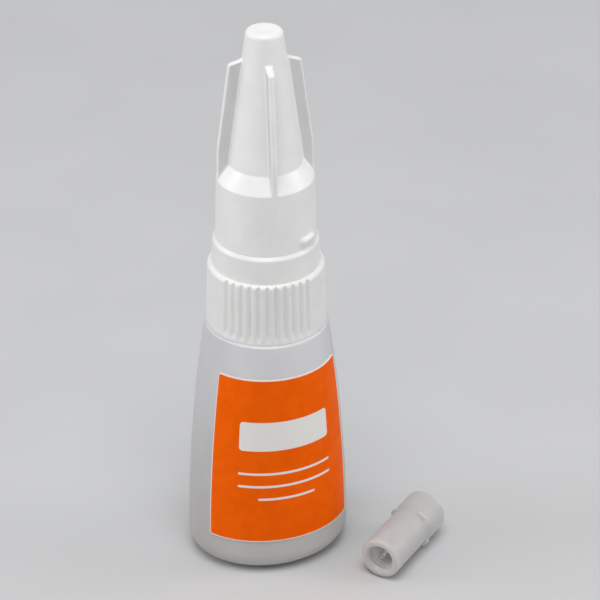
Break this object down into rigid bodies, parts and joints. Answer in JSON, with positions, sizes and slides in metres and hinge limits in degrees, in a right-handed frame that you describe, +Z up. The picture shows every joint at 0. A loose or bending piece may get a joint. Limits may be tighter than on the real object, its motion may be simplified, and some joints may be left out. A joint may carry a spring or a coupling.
{
  "type": "super glue bottle",
  "caption": "Oval squeeze bottle of instant glue with a ribbed collar, a finned screw cap over a dosing nozzle, and a loose cap with a clearing pin.",
  "frame": {"origin": "on the table, under the bottle's axis, at the centre of the ring that the bottle stands on", "axes": "+Z up along the bottle's axis to the cap's tip; -Y out of the label; +X along the broad side, towards the loose pin cap"},
  "size_m": [0.033, 0.0246, 0.0737],
  "materials": {
    "bottle_plastic": "milky translucent blown polyethylene, satin",
    "label_film": "orange printed film with a thin pale border, satin",
    "adhesive": "clear thin liquid",
    "nozzle_plastic": "natural polyethylene, satin",
    "collar_plastic": "greyish white moulded plastic, satin gloss",
    "cap_plastic": "greyish white moulded plastic with thin translucent fins, satin gloss",
    "seal_plastic": "soft natural polyethylene, matt",
    "pin_steel": "bright drawn wire",
    "pin_cap_plastic": "translucent natural polyethylene, gloss"
  },
  "bodies": {
    "bottle": {"bottle": "bottle_plastic", "front_label": "label_film", "adhesive_fill": "adhesive", "nozzle": "nozzle_plastic", "ribbed_collar": "collar_plastic"},
    "tip_seal": {"tip_seal": "seal_plastic"},
    "orifice_pin": {"orifice_pin": "pin_steel"},
    "overcap": {"overcap": "cap_plastic"},
    "pin_cap": {"pin_cap": "pin_cap_plastic", "clearing_pin": "pin_steel"}
  },
  "joints": [
    {"name": "overcap_lift", "type": "slide", "parent": "bottle", "child": "tip_seal", "axis": [0, 0, 1], "range_m": [0, 0.03]},
    {"name": "overcap_rise", "type": "slide", "parent": "tip_seal", "child": "orifice_pin", "axis": [0, 0, 1], "range_m": [0, 0.0032]},
    {"name": "overcap_turn", "type": "hinge", "parent": "orifice_pin", "child": "overcap", "pos_m": [0, 0, 0.05], "axis": [0, 0, 1], "range_deg": [0, 630]},
    {"name": "pin_cap_lift", "type": "slide", "parent": "bottle", "child": "pin_cap", "axis": [0, 0, 1], "range_m": [0, 0.03]}
  ],
  "couplings": [
    {"joint": "overcap_rise", "follows": "overcap_turn", "m_per_rad": 0.00028648}
  ]
}
